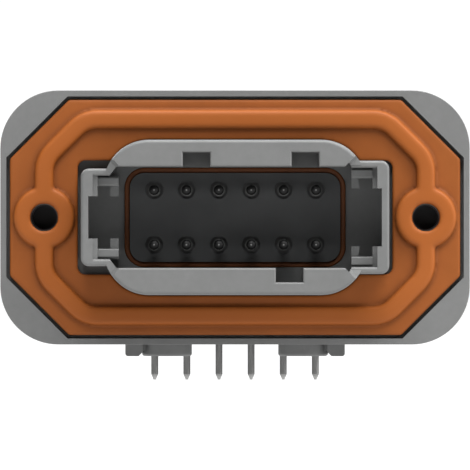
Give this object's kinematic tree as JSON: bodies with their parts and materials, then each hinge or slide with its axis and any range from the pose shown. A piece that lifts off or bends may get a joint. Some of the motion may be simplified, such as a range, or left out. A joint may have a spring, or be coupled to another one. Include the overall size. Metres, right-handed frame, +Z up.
{
  "type": "sealed board header",
  "caption": "Sealed right-angle circuit-board header with a flange gasket, a shroud with latch ears, round pins and two board screw bosses.",
  "frame": {"origin": "centre of the flange's front rim, the plane that meets the panel", "axes": "+X along the flange, -Y out of the mating mouth, +Z up from the board"},
  "size_m": [0.0738, 0.0421, 0.0456],
  "materials": {
    "housing_grey": "fine moulded",
    "insert_dark": "fine moulded",
    "seal_orange": "satin silicone",
    "contact_metal": "tin plated copper alloy",
    "potting_black": "cast resin"
  },
  "bodies": {
    "root": {"housing": "housing_grey", "tine_plate": "insert_dark", "contact_block": "insert_dark", "flange_gasket": "seal_orange", "block_seal": "seal_orange", "potting": "potting_black", "contact_upper_1": "contact_metal", "contact_upper_2": "contact_metal", "contact_upper_3": "contact_metal", "contact_upper_4": "contact_metal", "contact_upper_5": "contact_metal", "contact_upper_6": "contact_metal", "contact_lower_1": "contact_metal", "contact_lower_2": "contact_metal", "contact_lower_3": "contact_metal", "contact_lower_4": "contact_metal", "contact_lower_5": "contact_metal", "contact_lower_6": "contact_metal"}
  },
  "joints": []
}
